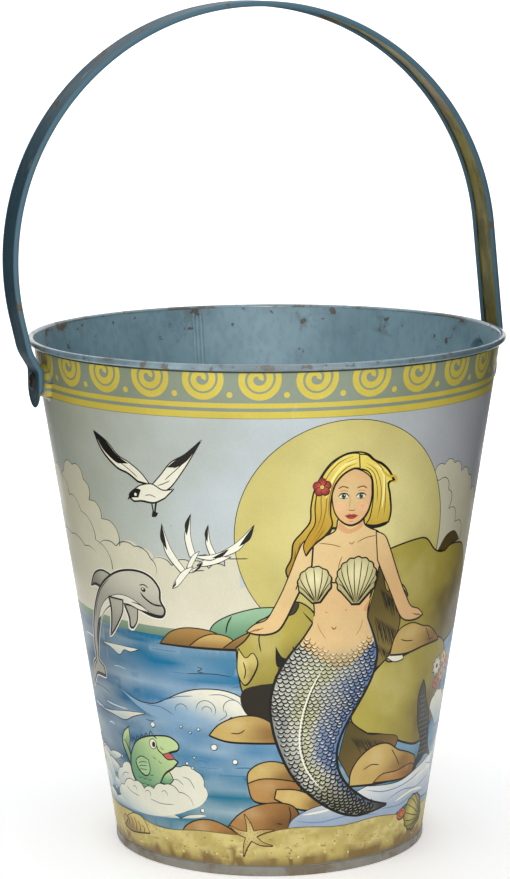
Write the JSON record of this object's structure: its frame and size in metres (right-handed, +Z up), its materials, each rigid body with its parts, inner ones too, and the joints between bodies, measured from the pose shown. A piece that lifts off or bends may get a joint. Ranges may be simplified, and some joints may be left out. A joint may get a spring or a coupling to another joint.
{
  "type": "sand bucket",
  "caption": "Tapered tinplate beach bucket with a rolled rim, lock-seamed printed wall, double-seamed base and a riveted swinging channel bail.",
  "frame": {"origin": "centre of the ring that the bucket rests on, on the bucket's own axis", "axes": "+Z up along the bucket's axis; the bail swings about X, and the side lock seam is at +Y"},
  "size_m": [0.2568, 0.24, 0.4233],
  "materials": {
    "printed_tin": "satin",
    "blue_enamel": "satin",
    "mustard_tin": "satin",
    "base_tin": "satin",
    "rivet_steel": "satin",
    "wire_steel": "satin"
  },
  "bodies": {
    "bucket": {"bucket_wall": "printed_tin", "rim_wire": "wire_steel", "bottom_pan": "base_tin", "rivet_left": "rivet_steel", "rivet_right": "rivet_steel", "rivet_washer_left": "rivet_steel", "rivet_washer_right": "rivet_steel"},
    "bail": {"bail_handle": "blue_enamel"}
  },
  "joints": [
    {"name": "bail_swing", "type": "hinge", "parent": "bucket", "child": "bail", "pos_m": [0, 0, 0.2402], "axis": [1, 0, 0], "range_deg": [-140, 140]}
  ]
}
